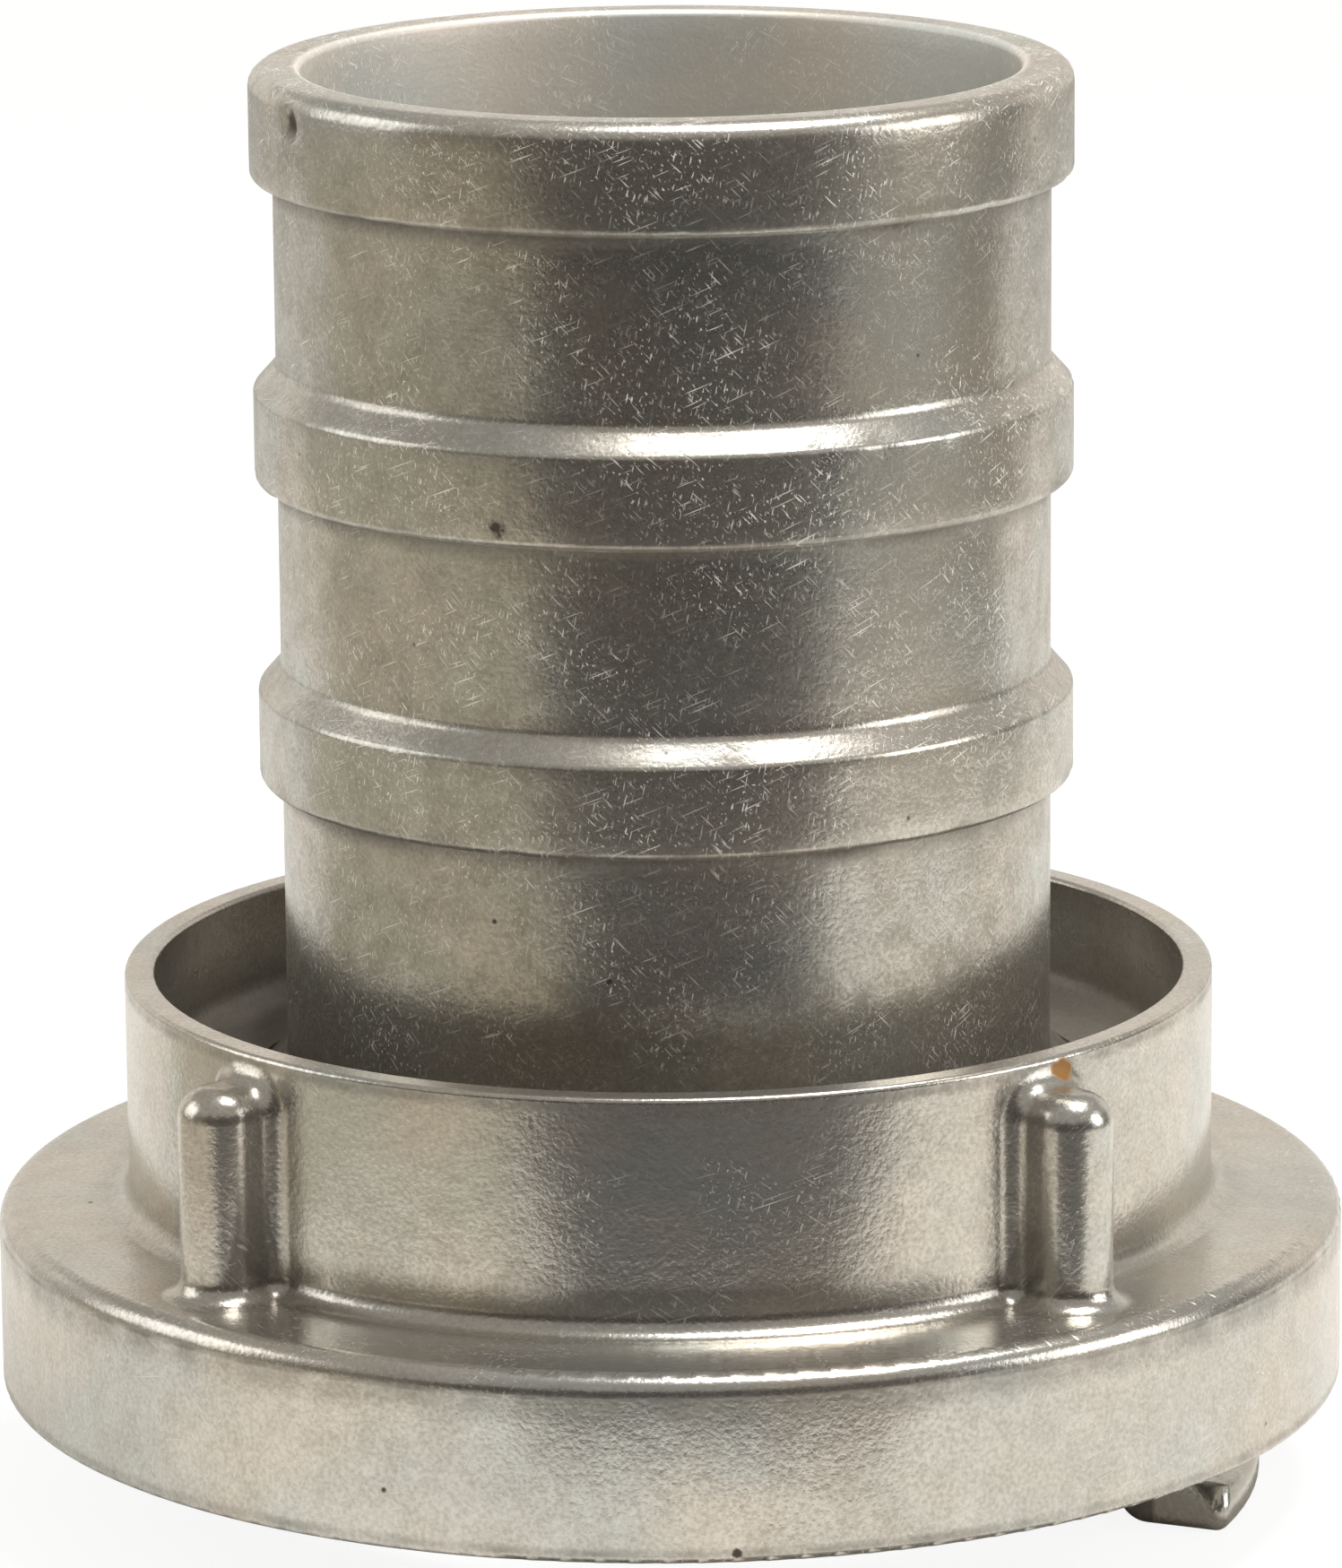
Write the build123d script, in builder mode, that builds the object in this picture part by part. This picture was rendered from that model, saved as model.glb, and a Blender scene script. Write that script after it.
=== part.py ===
"""Quarter turn fire hose coupling, 75 mm size: hose tail, swivelling lug ring, face seal and snap ring.

The frame has its origin on the axis, in the mating plane, with +Z towards the hose. Lengths in mm.
"""

from build123d import *
from math import cos, radians, sin
import os

os.makedirs("parts", exist_ok=True)

# radial stack, from the waterway outwards
bore_radius = 33.0
tail_wall = 2.7
rib_height = 2.1
journal_step = 2.1
collar_shoulder = 3.9
stem_gap = 0.7
lug_stem = 6.8
lug_hook = 4.2
hook_clearance = 1.1
flange_wall = 6.4
lip_clearance = 0.7
hose_room = 10.2
cup_wall = 2.8

# hose tail: the rib lands and pitch are measured along the axis, from the hose end
tail_length = 123.6
rib_count = 3
rib_pitch = 28.1
rib_land = 8.5
rib_ramp = 2.3
end_rib_land = 10.1
rim_round = 1.6
mouth_round = 0.6
rib_edge_round = 0.4
rib_foot_round = 0.8

# front collar of the hose tail, which holds the seal and carries the lug ring
collar_height = 19.5
collar_wall = 3.2
collar_edge = 0.8
journal_chamfer = 1.0

# face seal
seal_undercut = 1.2
seal_neck_depth = 4.6
seal_depth = 9.0
seal_proud = 1.0
seal_round = 0.9
seal_gap = 0.15
seal_lip_depth = 2.6
seal_lip_width = 1.5

# snap ring
wire_radius = 1.5
wire_clearance = 0.2
wire_split = 12.0

# running clearances between hose tail and lug ring
journal_clearance = 0.08
collar_clearance = 0.3
axial_clearance = 0.1

# lug ring, from the mating plane upwards
channel_depth = 12.0
flange_roof = 5.2
web_thickness = 7.9
cup_depth = 11.55
flange_edge = 1.2
face_edge = 0.8
cup_rim_round = 0.5
cup_floor_round = 3.0
root_round = 2.0

# spanner ribs: the angle is that of the first one, counted from a lug
spanner_rib_count = 4
spanner_rib_angle = 54.6
spanner_rib_width = 7.6
spanner_rib_reach = 7.0
spanner_rib_drop = 2.4
spanner_rib_round = 2.9

# lugs, lip and entry slots: angles in degrees, counted from a lug
lug_count = 2
lug_half_angle = 10.0
hook_height = 6.5
hook_thickness = 4.5
hook_round = 1.4
toe_round = 3.0
lip_thickness = 5.4
lip_rise = 0.9
slot_margin = 2.0
slot_angle = 70.0

# radii that follow
core_radius = bore_radius + tail_wall
rib_radius = core_radius + rib_height
journal_radius = rib_radius + journal_step
collar_radius = journal_radius + collar_shoulder
seal_mouth_radius = collar_radius - collar_wall
web_bore = journal_radius + journal_clearance
recess_radius = collar_radius + collar_clearance
stem_inner = collar_radius + stem_gap
stem_outer = stem_inner + lug_stem
hook_outer = stem_outer + lug_hook
lip_radius = stem_outer + lip_clearance
raceway_radius = hook_outer + hook_clearance
flange_radius = raceway_radius + flange_wall
cup_radius = rib_radius + hose_room
cup_outer = cup_radius + cup_wall
wire_groove = wire_radius + wire_clearance

# heights that follow
web_bottom = collar_height + axial_clearance
web_top = web_bottom + web_thickness
journal_top = web_top - journal_chamfer / 2
wire_height = web_bottom + web_thickness / 2
flange_height = channel_depth + flange_roof
ring_height = web_top + cup_depth
hook_tip = -hook_height - hook_thickness

# angles that follow
slot_half_angle = lug_half_angle + slot_margin
slot_start = slot_angle - slot_half_angle
slot_end = slot_angle + slot_half_angle
raceway_end = 360 / lug_count - lug_half_angle
ramp_middle = (slot_end + raceway_end) / 2
ramp_half_angle = (raceway_end - slot_end) / 2


def upright_plane(angle):
    """The half plane through the axis at this angle: local x points outward and local y up."""
    a = radians(angle)
    return Plane(origin=(0, 0, 0), x_dir=(cos(a), sin(a), 0), z_dir=(sin(a), -cos(a), 0))


def rims(builder, radius, height):
    """The circular edges about the axis that have this radius and height."""
    return builder.edges().filter_by(GeomType.CIRCLE).filter_by(
        lambda e: abs(e.radius - radius) < 0.01
        and abs(e.arc_center.Z - height) < 0.01
        and abs(e.arc_center.X) + abs(e.arc_center.Y) < 0.01
    )


# ---------------------------------------------------------------- hose tail
end_rib_foot = tail_length - end_rib_land
rib_feet = [end_rib_foot - i * rib_pitch for i in range(rib_count - 1, 0, -1)]
tail_outline = [
    (bore_radius, 0),
    (collar_radius, 0),
    (collar_radius, collar_height),
    (journal_radius, collar_height),
    (journal_radius, journal_top),
    (core_radius, journal_top + journal_radius - core_radius),
]
for foot in rib_feet:
    tail_outline += [
        (core_radius, foot),
        (rib_radius, foot),
        (rib_radius, foot + rib_land),
        (core_radius, foot + rib_land + rib_ramp),
    ]
tail_outline += [
    (core_radius, end_rib_foot),
    (rib_radius, end_rib_foot),
    (rib_radius, tail_length),
    (bore_radius, tail_length),
]

with BuildPart() as shank:
    with BuildSketch(Plane.XZ):
        with BuildLine():
            Polyline(*tail_outline, close=True)
        make_face()
    revolve(axis=Axis.Z)

    # ribs: softened crests, and a small fillet where each one stands on the tail
    feet = rib_feet + [end_rib_foot]
    crests = [rims(shank, rib_radius, foot) for foot in feet]
    crests += [rims(shank, rib_radius, foot + rib_land) for foot in rib_feet]
    fillet([edge for group in crests for edge in group], rib_edge_round)
    roots = [rims(shank, core_radius, foot) for foot in feet]
    roots += [rims(shank, core_radius, foot + rib_land + rib_ramp) for foot in rib_feet]
    fillet([edge for group in roots for edge in group], rib_foot_round)
    fillet(rims(shank, rib_radius, tail_length), rim_round)
    fillet(rims(shank, bore_radius, tail_length), mouth_round)
    chamfer(rims(shank, collar_radius, 0), collar_edge)
    chamfer(rims(shank, collar_radius, collar_height), collar_edge)

    # undercut seat for the seal, open to the waterway
    with BuildSketch(Plane.XZ):
        with BuildLine():
            Polyline(
                (bore_radius, 0),
                (seal_mouth_radius, 0),
                (seal_mouth_radius, seal_neck_depth),
                (seal_mouth_radius + seal_undercut, seal_neck_depth),
                (seal_mouth_radius + seal_undercut, seal_depth),
                (bore_radius, seal_depth),
                close=True,
            )
        make_face()
    revolve(axis=Axis.Z, mode=Mode.SUBTRACT)

    # groove for the inner half of the snap ring
    with BuildSketch(Plane.XZ):
        with Locations((journal_radius, wire_height)):
            Rectangle(2 * wire_groove, 2 * wire_groove)
    revolve(axis=Axis.Z, mode=Mode.SUBTRACT)

# ---------------------------------------------------------------- face seal
neck_outer = seal_mouth_radius - seal_gap
heel_outer = seal_mouth_radius + seal_undercut - seal_gap
heel_start = seal_neck_depth + seal_gap
lip_middle = (seal_depth - seal_proud) / 2

with BuildPart() as seal:
    with BuildSketch(Plane.XZ):
        with BuildLine():
            Polyline(
                (bore_radius, -seal_proud),
                (neck_outer, -seal_proud),
                (neck_outer, heel_start),
                (heel_outer, heel_start),
                (heel_outer, seal_depth),
                (bore_radius, seal_depth),
                close=True,
            )
        make_face()
    revolve(axis=Axis.Z)
    fillet(rims(seal, neck_outer, -seal_proud), seal_round)
    fillet(rims(seal, bore_radius, -seal_proud), seal_round)

    # the notch that lets the water press the sealing lip outward
    with BuildSketch(Plane.XZ):
        with BuildLine():
            Polyline(
                (bore_radius, lip_middle - seal_lip_width / 2),
                (bore_radius + seal_lip_depth, lip_middle),
                (bore_radius, lip_middle + seal_lip_width / 2),
                close=True,
            )
        make_face()
    revolve(axis=Axis.Z, mode=Mode.SUBTRACT)

# ---------------------------------------------------------------- snap ring
with BuildPart() as snap_ring:
    with BuildSketch(upright_plane(wire_split / 2)):
        with Locations((journal_radius, wire_height)):
            Circle(wire_radius)
    revolve(axis=Axis.Z, revolution_arc=360 - wire_split)

# ---------------------------------------------------------------- parts of the lug ring
# one hooked lug, centred on +X: its stem rises out of the channel behind the lip
with BuildPart() as lug:
    with BuildSketch(upright_plane(-lug_half_angle)):
        with BuildLine():
            Polyline(
                (stem_inner, channel_depth),
                (stem_inner, hook_tip),
                (hook_outer, hook_tip),
                (hook_outer, -hook_height),
                (stem_outer, -hook_height),
                (stem_outer, channel_depth),
                close=True,
            )
        make_face()
    revolve(axis=Axis.Z, revolution_arc=2 * lug_half_angle)
    fillet(rims(lug, stem_inner, hook_tip), toe_round)
    tip_corners = lug.edges().filter_by_position(Axis.Z, hook_tip - 0.01, -hook_height - 0.01)
    fillet(tip_corners, hook_round)

# a spanner rib on +X, with a round nose and a domed top
rib_top = ring_height - spanner_rib_drop
nose_centre = cup_outer + spanner_rib_reach - spanner_rib_width / 2
with BuildPart() as spanner_rib:
    with BuildSketch(Plane.XY.offset(flange_height)):
        with Locations((nose_centre, 0)):
            Circle(spanner_rib_width / 2)
        with Locations(((cup_radius + cup_outer) / 2, 0)):
            Rectangle(
                nose_centre - (cup_radius + cup_outer) / 2,
                spanner_rib_width,
                align=(Align.MIN, Align.CENTER),
            )
    extrude(amount=rib_top - flange_height)
    top_edges = spanner_rib.edges().group_by(Axis.Z)[-1]
    fillet(top_edges.sort_by(Axis.X)[1:], spanner_rib_round)

# room behind the lip, from the entry slot to the stop: its floor is the back of the lip, a ramp
ramp_slope = lip_rise / 2 / sin(radians(ramp_half_angle)) / raceway_radius
ramp_x = cos(radians(ramp_middle))
ramp_y = sin(radians(ramp_middle))
ramp_plane = Plane(
    origin=(
        raceway_radius * ramp_x,
        raceway_radius * ramp_y,
        lip_thickness + lip_rise / 2,
    ),
    x_dir=(ramp_x, ramp_y, 0),
    z_dir=(ramp_slope * ramp_y, -ramp_slope * ramp_x, 1),
)
with BuildPart() as raceway:
    with BuildSketch(upright_plane(slot_start)):
        with Locations((stem_outer, 0)):
            Rectangle(raceway_radius - stem_outer, channel_depth, align=Align.MIN)
    revolve(axis=Axis.Z, revolution_arc=raceway_end - slot_start)
    split(bisect_by=ramp_plane, keep=Keep.TOP)

# the slot in the lip that lets a lug of the other coupling in
with BuildPart() as entry_slot:
    with BuildSketch(upright_plane(slot_start)):
        with Locations((stem_outer, 0)):
            Rectangle(raceway_radius - stem_outer, channel_depth, align=Align.MIN)
    revolve(axis=Axis.Z, revolution_arc=slot_end - slot_start)

# ---------------------------------------------------------------- lug ring
with BuildPart() as lug_ring:
    with BuildSketch(Plane.XZ):
        with BuildLine():
            Polyline(
                (web_bore, web_bottom),
                (recess_radius, web_bottom),
                (recess_radius, channel_depth),
                (lip_radius, channel_depth),
                (lip_radius, 0),
                (flange_radius, 0),
                (flange_radius, flange_height),
                (cup_outer, flange_height),
                (cup_outer, ring_height),
                (cup_radius, ring_height),
                (cup_radius, web_top),
                (web_bore, web_top),
                close=True,
            )
        make_face()
    revolve(axis=Axis.Z)
    fillet(rims(lug_ring, cup_radius, web_top), cup_floor_round)
    fillet(rims(lug_ring, flange_radius, flange_height), flange_edge)
    fillet(rims(lug_ring, flange_radius, 0), face_edge)

    # spanner ribs, blended into the cup's wall and the flange
    with PolarLocations(0, spanner_rib_count, start_angle=spanner_rib_angle):
        add(spanner_rib.part)
    flange_line = lug_ring.edges().filter_by_position(
        Axis.Z, flange_height - 0.01, flange_height + 0.01
    )
    foot_edges = flange_line.filter_by(
        lambda e: (e @ 0.5).X ** 2 + (e @ 0.5).Y ** 2 < (flange_radius - 2 * flange_edge) ** 2
    )
    side_edges = lug_ring.edges().filter_by(Axis.Z).filter_by(
        lambda e: abs((e @ 0.5).X ** 2 + (e @ 0.5).Y ** 2 - cup_outer**2) < 1
        and e.length > flange_height / 2
    )
    fillet(foot_edges + side_edges, root_round)
    fillet(rims(lug_ring, cup_outer, ring_height), cup_rim_round)
    fillet(rims(lug_ring, cup_radius, ring_height), cup_rim_round)

    # entry slot and raceway for each lug of the other coupling
    with PolarLocations(0, lug_count):
        add(raceway.part, mode=Mode.SUBTRACT)
        add(entry_slot.part, mode=Mode.SUBTRACT)

    # groove for the outer half of the snap ring
    with BuildSketch(Plane.XZ):
        with Locations((journal_radius, wire_height)):
            Rectangle(2 * wire_groove, 2 * wire_groove)
    revolve(axis=Axis.Z, mode=Mode.SUBTRACT)

    with PolarLocations(0, lug_count):
        add(lug.part)

shank.part.label = "shank"
seal.part.label = "seal"
snap_ring.part.label = "snap_ring"
lug_ring.part.label = "lug_ring"

export_step(shank.part, "parts/shank.step")
export_step(seal.part, "parts/seal.step")
export_step(snap_ring.part, "parts/snap_ring.step")
export_step(lug_ring.part, "parts/lug_ring.step")
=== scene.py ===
"""Looks of a quarter turn fire hose coupling: worn aluminium, rubber seal, studio and camera."""

import math

import bmesh
import bpy
import numpy as np
from mathutils import Matrix, Vector


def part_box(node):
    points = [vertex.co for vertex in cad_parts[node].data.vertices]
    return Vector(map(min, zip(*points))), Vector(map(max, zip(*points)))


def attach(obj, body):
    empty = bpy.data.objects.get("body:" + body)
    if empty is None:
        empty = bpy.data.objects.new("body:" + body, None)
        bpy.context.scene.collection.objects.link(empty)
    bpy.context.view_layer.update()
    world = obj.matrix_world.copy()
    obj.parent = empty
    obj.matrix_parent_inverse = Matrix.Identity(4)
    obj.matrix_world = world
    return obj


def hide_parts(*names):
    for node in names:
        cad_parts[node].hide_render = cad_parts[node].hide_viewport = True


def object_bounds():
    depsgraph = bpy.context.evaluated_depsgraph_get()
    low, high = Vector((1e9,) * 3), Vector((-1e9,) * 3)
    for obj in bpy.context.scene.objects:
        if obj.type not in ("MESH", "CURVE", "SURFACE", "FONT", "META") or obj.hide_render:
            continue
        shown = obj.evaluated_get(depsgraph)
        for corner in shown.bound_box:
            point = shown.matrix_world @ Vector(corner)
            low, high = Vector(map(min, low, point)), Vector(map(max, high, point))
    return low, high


bl_info = {
    "name": "Fire Hose Coupling Looks",
    "version": (1, 0, 0),
    "blender": (4, 5, 0),
    "location": "View3D > Sidebar > Coupling",
    "description": "Worn aluminium, rubber seal and studio of a quarter turn fire hose coupling",
    "category": "Object",
}

MM = 0.001
# height of the camera's frame, and how far its middle lies beside the lens's axis, in one unit
FRAME_HEIGHT = 1749
FRAME_SHIFT = 4.66
# the flange: height of its top, and its upper edge's rounding as made and as worn
FLANGE_HEIGHT = 17.2 * MM
FLANGE_EDGE = 1.2 * MM
WORN_EDGE = 2.0 * MM
# the hose tail's mesh: columns round the axis and longest step along the outline
TAIL_COLUMNS = 360
TAIL_STEP = 1.7 * MM
# colour inputs of a Mix node
MIX_A = 6
MIX_B = 7
# the metal: radius at which it is rolled out flat for its scratches, spacing of the lathe lines
# and how often one changes in a metre, and depth of the tumbled grain
ROLL_RADIUS = 40 * MM
LATHE_PITCH = 0.35 * MM
LATHE_CHANGES = 60.0
GRAIN_DEPTH = 0.027 * MM
# angle, length, width and threshold of each set of scratches; the last is short nicks
SCRATCHES = (
    (0.35, 4.5 * MM, 0.16 * MM, 0.815),
    (-0.75, 2.6 * MM, 0.15 * MM, 0.81),
    (1.35, 1.4 * MM, 0.17 * MM, 0.80),
    (2.2, 0.45 * MM, 0.20 * MM, 0.79),
)

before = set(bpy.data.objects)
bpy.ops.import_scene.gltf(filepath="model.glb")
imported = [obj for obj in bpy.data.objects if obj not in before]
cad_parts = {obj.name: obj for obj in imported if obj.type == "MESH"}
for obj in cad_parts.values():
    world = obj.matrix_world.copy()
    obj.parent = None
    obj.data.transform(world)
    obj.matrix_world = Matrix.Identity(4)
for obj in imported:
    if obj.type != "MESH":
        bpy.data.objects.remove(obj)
cad_low, cad_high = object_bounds()
tail_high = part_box("shank")[1]
ring_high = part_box("lug_ring")[1]


def length(name, description, default):
    """A size in metres that the sidebar shows with its unit."""
    return bpy.props.FloatProperty(
        name=name, description=description, default=default, unit="LENGTH", precision=5
    )


def colour(name, description, default):
    """A colour given as sRGB hex, kept as linear values."""
    return bpy.props.FloatVectorProperty(
        name=name, description=description, default=linear(default), size=4, subtype="COLOR"
    )


def linear(hex_colour):
    """An sRGB hex colour as linear red, green, blue and alpha."""
    channels = [int(hex_colour[i : i + 2], 16) / 255 for i in (1, 3, 5)]
    return [c / 12.92 if c <= 0.04045 else ((c + 0.055) / 1.055) ** 2.4 for c in channels] + [1.0]


# ---------------------------------------------------------------- sizes and colours to change


class CouplingTail(bpy.types.PropertyGroup):
    """Sizes of the hose tail and of the marks of use on it."""

    bore: length("Bore", "Radius of the waterway", 33.0 * MM)
    core: length("Core", "Outer radius between the ribs", 35.7 * MM)
    rib: length("Ribs", "Outer radius of the ribs", 37.8 * MM)
    journal: length("Journal", "Radius the lug ring turns on", 39.9 * MM)
    collar: length("Collar", "Radius of the front collar", tail_high[0])
    collar_height: length("Collar height", "Height of the front collar", 19.5 * MM)
    journal_top: length("Journal top", "Height where the journal ends", 27.0 * MM)
    end_land: length("End rib", "Height of the rib at the hose end", 10.1 * MM)
    land: length("Rib", "Height of the other ribs", 8.5 * MM)
    ramp: length("Ramp", "Height of the slope above each rib", 2.3 * MM)
    pitch: length("Pitch", "From one rib to the next", 28.1 * MM)
    nicks: bpy.props.IntProperty(name="Nicks", description="Small dents by handling", default=90)
    seed: bpy.props.IntProperty(name="Seed", description="Of the random marks", default=7)


class CouplingFinish(bpy.types.PropertyGroup):
    """Colours of the metal, its marks and the rubber."""

    metal: colour("Metal", "Clean aluminium, warmer patches", "#d8d0c5")
    cool: colour("Cool metal", "Clean aluminium, cooler patches", "#cdcec8")
    dull: colour("Dull metal", "Aluminium under a film of dirt", "#9d978a")
    nick: colour("Nicks", "Fresh scratches and nicks", "#efece4")
    # also the colour of painted shade in the metal's corners, under the tail's ribs and inside the
    # cup
    grime_and_shade: colour("Grime", "Dirt in corners and pits", "#4a4238")
    rust: colour("Stain", "Rust left by other gear", "#93672f")
    rubber: colour("Rubber", "Face seal", "#1b1b1b")
    steel: colour("Steel", "Snap ring", "#8d8a86")


class CouplingStudio(bpy.types.PropertyGroup):
    """Where the camera stands."""

    distance: length("Distance", "From the coupling's axis", 806.8 * MM)
    height: length("Height", "Above the mating plane", 243.4 * MM)
    turn: bpy.props.FloatProperty(
        name="Turn", description="Around the axis, from -Y towards +X",
        default=math.radians(13.0), subtype="ANGLE",
    )
    tilt: bpy.props.FloatProperty(
        name="Tilt", description="Of the lens below the horizon",
        default=math.radians(13.094), subtype="ANGLE",
    )
    roll: bpy.props.FloatProperty(
        name="Roll", description="Of the camera about its lens",
        default=math.radians(-0.473), subtype="ANGLE",
    )
    lens: bpy.props.FloatProperty(
        name="Lens", description="Focal length on a 36 mm sensor", default=204.19
    )


# ---------------------------------------------------------------- shapes


def rounded_profile(corners, step, arc_steps=5):
    """Points of a closed outline in the radius and height plane.

    Each corner is (radius, height, rounding). A rounding's arc starts on one straight at the
    rounding times the tangent of half the turn from the corner, and its points are the corner's
    tangent circle at even angles. Straights are cut into even runs no longer than step.
    """
    points = np.array([c[:2] for c in corners], float)
    rounding = np.array([c[2] for c in corners], float)
    arriving = points - np.roll(points, 1, axis=0)
    arriving /= np.linalg.norm(arriving, axis=1)[:, None]
    leaving = np.roll(arriving, -1, axis=0)
    cross = arriving[:, 0] * leaving[:, 1] - arriving[:, 1] * leaving[:, 0]
    swing = np.arctan2(cross, (arriving * leaving).sum(axis=1))
    reach = rounding * np.tan(np.abs(swing) / 2)
    runs = []
    for i, corner in enumerate(points):
        if rounding[i] > 0:
            side = np.sign(swing[i]) * np.array([-arriving[i, 1], arriving[i, 0]])
            centre = corner - arriving[i] * reach[i] + side * rounding[i]
            a = np.linspace(0, swing[i], arc_steps + 1)[:, None]
            across = np.array([side[1], -side[0]])
            runs.append(centre + rounding[i] * (across * np.sin(a) - side * np.cos(a)))
        else:
            runs.append(corner[None])
    outline = []
    for run, following in zip(runs, runs[1:] + runs[:1]):
        gap = np.linalg.norm(following[0] - run[-1])
        count = max(1, math.ceil(gap / step))
        share = np.linspace(0, 1, count + 1)[1:-1, None]
        outline += [run, run[-1] + (following[0] - run[-1]) * share]
    return np.vstack(outline)


def turned(outline, columns):
    """A closed outline carried round the axis: x is radius times cosine, y is radius times sine."""
    a = np.linspace(0, 2 * np.pi, columns, endpoint=False)
    radius, height = outline.T
    grid = np.empty((columns, len(outline), 3))
    grid[..., 0] = radius * np.cos(a)[:, None]
    grid[..., 1] = radius * np.sin(a)[:, None]
    grid[..., 2] = height
    return grid, a


def outline_normals(outline):
    """Unit normals of a closed outline, to the right of its direction of travel."""
    along = np.roll(outline, -1, axis=0) - np.roll(outline, 1, axis=0)
    along /= np.linalg.norm(along, axis=1)[:, None]
    return np.column_stack([along[:, 1], -along[:, 0]])


def closed_grid_mesh(name, grid):
    """A piece from a grid that closes on itself both ways, with faces pointing outwards."""
    columns, rows = grid.shape[:2]
    index = np.arange(columns * rows).reshape(columns, rows)
    right = np.roll(index, -1, axis=0)
    up = np.roll(index, -1, axis=1)
    corner = np.roll(right, -1, axis=1)
    faces = np.stack([index, right, corner, up], axis=-1).reshape(-1, 4)
    mesh = bpy.data.meshes.new(name)
    mesh.from_pydata(grid.reshape(-1, 3), [], faces)
    mesh.update()
    mesh.shade_smooth()
    piece = bpy.data.objects.new(name, mesh)
    bpy.context.scene.collection.objects.link(piece)
    return piece


def point_attribute(piece, name, values):
    """Keeps one number for each point of a piece, for its material to read."""
    attribute = piece.data.attributes.new(name, "FLOAT", "POINT")
    attribute.data.foreach_set("value", np.asarray(values, np.float32).ravel())


def wander(a, draws, waves=9):
    """A smooth random line round the axis: a sum of sines with falling strength, about 0 to 1."""
    order = np.arange(1, waves + 1) * 2
    phase = draws.uniform(0, 2 * np.pi, waves)
    line = (np.sin(order * a[:, None] + phase) / np.sqrt(order)).sum(axis=1)
    return 0.5 + line / 4


def flat_sheet(name, outline, height):
    """A level sheet with this outline."""
    mesh = bpy.data.meshes.new(name)
    mesh.from_pydata([(x, y, height) for x, y in outline], [], [range(len(outline))])
    sheet = bpy.data.objects.new(name, mesh)
    bpy.context.scene.collection.objects.link(sheet)
    return sheet


def sector(near, far, middle, near_reach, far_reach):
    """A level sector about the direction of the middle angle.

    Both arcs have their own reach left and right of the middle, so the sides can splay.
    """
    inner_a = middle + np.linspace(*near_reach, 25)
    outer_a = middle + np.linspace(*far_reach, 25)
    inner = np.column_stack([near * np.sin(inner_a), -near * np.cos(inner_a)])
    outer = np.column_stack([far * np.sin(outer_a), -far * np.cos(outer_a)])
    return np.vstack([outer, inner[::-1]])


def standing_arc(name, radius, middle, reach, low, high):
    """An upright strip along an arc of this radius, from low to high."""
    a = middle + np.linspace(*reach, 25)
    foot = np.column_stack([radius * np.sin(a), -radius * np.cos(a), np.full(a.size, low)])
    head = foot + [0, 0, high - low]
    first = np.arange(a.size - 1)
    faces = np.column_stack([first, first + 1, first + 1 + a.size, first + a.size])
    mesh = bpy.data.meshes.new(name)
    mesh.from_pydata(np.vstack([foot, head]), [], faces)
    strip = bpy.data.objects.new(name, mesh)
    bpy.context.scene.collection.objects.link(strip)
    return strip


def corner_positions(mesh):
    """Where each face corner of a mesh lies: its point's place, looked up by index."""
    place = np.empty(len(mesh.vertices) * 3)
    mesh.vertices.foreach_get("co", place)
    point = np.empty(len(mesh.loops), int)
    mesh.loops.foreach_get("vertex_index", point)
    return place.reshape(-1, 3)[point]


def wear_flange_edge(mesh, radius, height, edge, worn):
    """Opens the rounding of the flange's upper edge to the worn size.

    A point on the old rounding keeps its angle about the rounding's centre, and moves to the same
    angle on the larger rounding, which touches the same top and side.
    """
    place = np.empty(len(mesh.vertices) * 3)
    mesh.vertices.foreach_get("co", place)
    place = place.reshape(-1, 3)
    away = np.hypot(place[:, 0], place[:, 1])
    out, up = away - (radius - edge), place[:, 2] - (height - edge)
    slack = 0.02 * MM
    on_edge = (out > -slack) & (up > -slack) & (np.hypot(out, up) > edge - 2 * slack)
    swing = np.arctan2(up[on_edge], out[on_edge])
    new_away = radius - worn + worn * np.cos(swing)
    place[on_edge, :2] *= (new_away / away[on_edge])[:, None]
    place[on_edge, 2] = height - worn + worn * np.sin(swing)
    mesh.vertices.foreach_set("co", place.ravel())
    mesh.update()


def round_shading(mesh, radius, height, worn):
    """Shades the flange's upper edge and side as true rounds: normals point from their centres."""
    place = corner_positions(mesh)
    normal = np.empty(len(mesh.loops) * 3)
    mesh.corner_normals.foreach_get("vector", normal)
    normal = normal.reshape(-1, 3)
    away = np.hypot(place[:, 0], place[:, 1])
    radial = place[:, :2] / away[:, None]
    out, up = away - (radius - worn), place[:, 2] - (height - worn)
    slack = 0.02 * MM
    on_edge = (out > -slack) & (up > -slack) & (normal[:, 2] > -0.2)
    size = np.hypot(out[on_edge], up[on_edge])
    normal[on_edge, :2] = radial[on_edge] * (out[on_edge] / size)[:, None]
    normal[on_edge, 2] = up[on_edge] / size
    mesh.normals_split_custom_set(normal)


# ---------------------------------------------------------------- materials


def add(tree, kind, inputs=(), **settings):
    """Adds a node with its settings. An input takes a value, a socket or a node's result."""
    node = tree.nodes.new("ShaderNode" + kind)
    for name, value in settings.items():
        setattr(node, name, value)
    for key, value in dict(inputs).items():
        if isinstance(value, bpy.types.Node):
            value = next(socket for socket in value.outputs if socket.enabled)
        if isinstance(value, bpy.types.NodeSocket):
            tree.links.new(value, node.inputs[key])
        else:
            node.inputs[key].default_value = value
    return node


def new_material(name):
    """An empty material with its shader and node tree."""
    material = bpy.data.materials.new(name)
    material.use_nodes = True
    return material, material.node_tree, material.node_tree.nodes["Principled BSDF"]


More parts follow.
